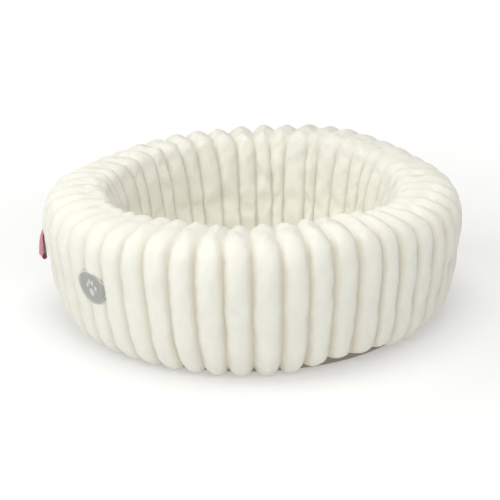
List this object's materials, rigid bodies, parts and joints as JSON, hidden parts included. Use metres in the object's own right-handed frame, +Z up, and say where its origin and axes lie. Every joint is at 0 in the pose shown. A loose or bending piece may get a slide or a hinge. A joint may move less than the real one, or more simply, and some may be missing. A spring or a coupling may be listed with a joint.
{
  "type": "pet cushion bed",
  "caption": "Round stuffed bed for a small pet: a ribbed plush ring wall round a loose seat cushion, on a zipped non-slip base, with an oval label and a ribbon tag.",
  "frame": {"origin": "centre of the round underside, on the face that rests on the floor", "axes": "+Z up, -Y towards the front, +X to the right as seen from the front; the ribbon tag is on the -X side and the zip is at the back, centred on +Y"},
  "size_m": [0.5099, 0.5, 0.174],
  "materials": {
    "plush": "wide-wale plush with a short soft pile",
    "lining_cloth": "plain woven polyester",
    "fibre_filling": "loose polyester fibre",
    "foam": "open-cell sheet foam",
    "base_cloth": "non-slip woven cloth with printed grip dots",
    "binding": "woven binding tape",
    "zip_tape": "woven zip tape",
    "zip_coil": "nylon coil",
    "zip_metal": "satin nickel plate",
    "piping": "bias-cut piping",
    "label_cloth": "woven satin label",
    "thread": "sewing thread",
    "ribbon": "grosgrain ribbon"
  },
  "bodies": {
    "bed": {"wall_cover": "plush", "wall_liner": "lining_cloth", "wall_filling": "fibre_filling", "floor_lining": "lining_cloth", "base_foam": "foam", "base_cloth": "base_cloth", "seam_binding": "binding", "zip_tape_lower": "zip_tape", "zip_tape_upper": "zip_tape", "zip_coil_lower": "zip_coil", "zip_coil_upper": "zip_coil", "zip_end_stops": "zip_metal", "oval_label": "label_cloth", "oval_label_stitches": "thread", "side_tag_tab": "ribbon", "side_tag_bartack": "thread"},
    "seat_cushion": {"cushion_top_cover": "plush", "cushion_bottom_cover": "base_cloth", "cushion_filling": "fibre_filling", "cushion_piping": "piping"},
    "slider": {"zip_slider": "zip_metal"},
    "pull": {"zip_pull": "zip_metal"},
    "tag": {"side_tag": "ribbon"}
  },
  "joints": [
    {"name": "cushion_lift", "type": "slide", "parent": "bed", "child": "seat_cushion", "axis": [0, 0, 1], "range_m": [0, 0.2]},
    {"name": "zip_travel", "type": "hinge", "parent": "bed", "child": "slider", "pos_m": [0, 0, 0.0051], "axis": [0, 0, 1], "range_deg": [0, 145]},
    {"name": "zip_pull_flip", "type": "hinge", "parent": "slider", "child": "pull", "pos_m": [0.1941, 0.06115, 0.0051], "axis": [0, 0, -1], "range_deg": [0, 170]},
    {"name": "side_tag_swing", "type": "hinge", "parent": "bed", "child": "tag", "pos_m": [-0.2513, 0, 0.121], "axis": [0, 1, 0], "range_deg": [0, 120]}
  ]
}
